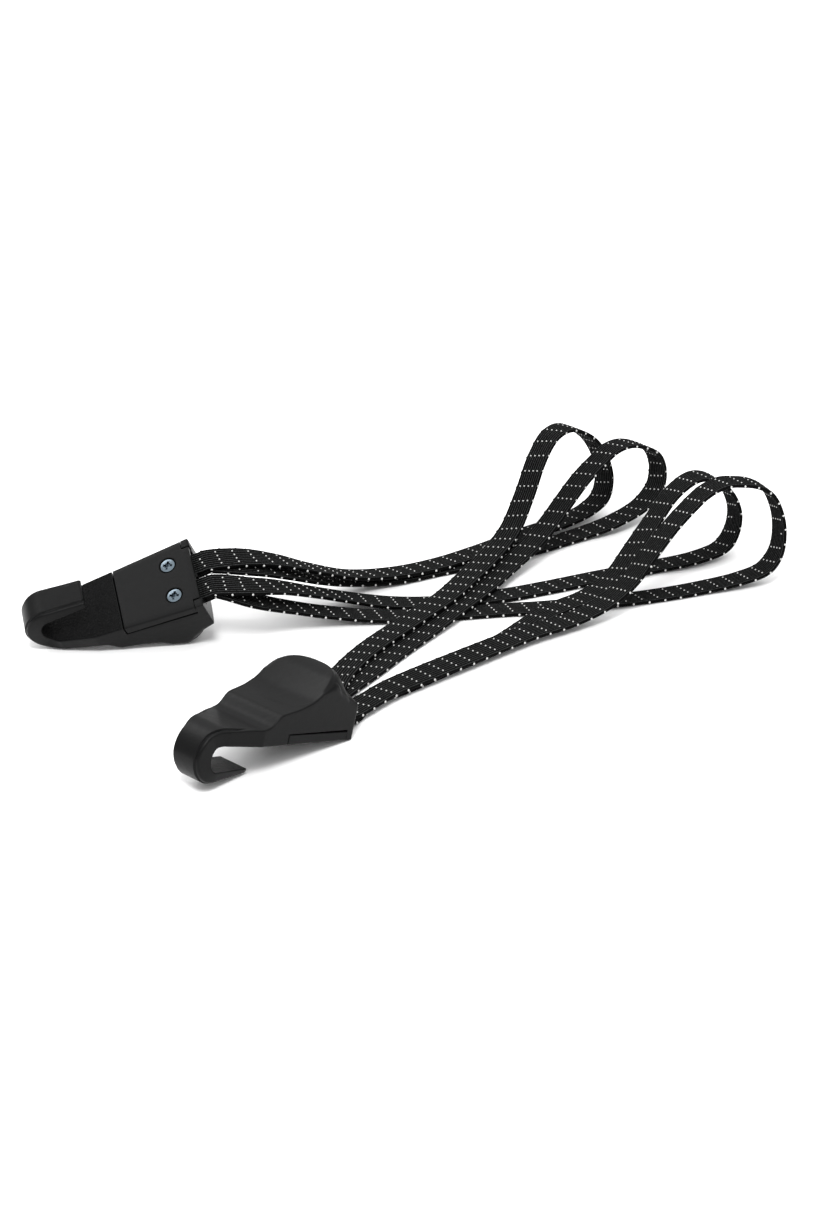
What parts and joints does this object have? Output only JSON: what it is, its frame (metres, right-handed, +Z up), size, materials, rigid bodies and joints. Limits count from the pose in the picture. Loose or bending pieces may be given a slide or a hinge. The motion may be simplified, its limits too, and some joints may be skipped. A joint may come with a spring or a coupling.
{
  "type": "bicycle tension strap",
  "caption": "Elastic tension strap: moulded J-hooks with screwed cover plates at both ends, joined by flat elastic bands that lie folded into loops.",
  "frame": {"origin": "on the plane that the strap lies on, under the middle of the two hooks' bounding box", "axes": "+Z up from that plane, +X from the hooks towards the looped bands, +Y across, from the near hook to the far hook"},
  "size_m": [0.3582, 0.2911, 0.0579],
  "materials": {
    "hook": "satin moulded, fine grain inside the J",
    "cover": "satin moulded",
    "elastic": "woven cover with slanting rows of white dots",
    "screw": "zinc plated",
    "clip": "plain"
  },
  "bodies": {
    "bands": {"band_a": "elastic", "band_b": "elastic", "band_c": "elastic", "band_d": "elastic"},
    "near_hook": {"near_body": "hook", "near_cover": "cover", "near_screw_left": "screw", "near_screw_right": "screw", "near_clip_left": "clip", "near_clip_right": "clip", "near_end_left_lower": "elastic", "near_end_left_upper": "elastic", "near_end_right_lower": "elastic", "near_end_right_upper": "elastic"},
    "far_hook": {"far_body": "hook", "far_cover": "cover", "far_screw_left": "screw", "far_screw_right": "screw", "far_clip_left": "clip", "far_clip_right": "clip", "far_end_left_lower": "elastic", "far_end_left_upper": "elastic", "far_end_right_lower": "elastic", "far_end_right_upper": "elastic"}
  },
  "joints": [
    {"name": "near_bend", "type": "hinge", "parent": "bands", "child": "near_hook", "pos_m": [0.0773, -0.0024, 0.003], "axis": [-0.7408, 0.6718, 0], "range_deg": [0, 75], "deforming": ["band_a", "band_b", "band_c", "band_d"]},
    {"name": "far_bend", "type": "hinge", "parent": "bands", "child": "far_hook", "pos_m": [0.0272, 0.0645, 0.029], "axis": [-0.2941, 0.9044, 0.3091], "range_deg": [0, 75], "deforming": ["band_a", "band_b", "band_c", "band_d"]}
  ]
}
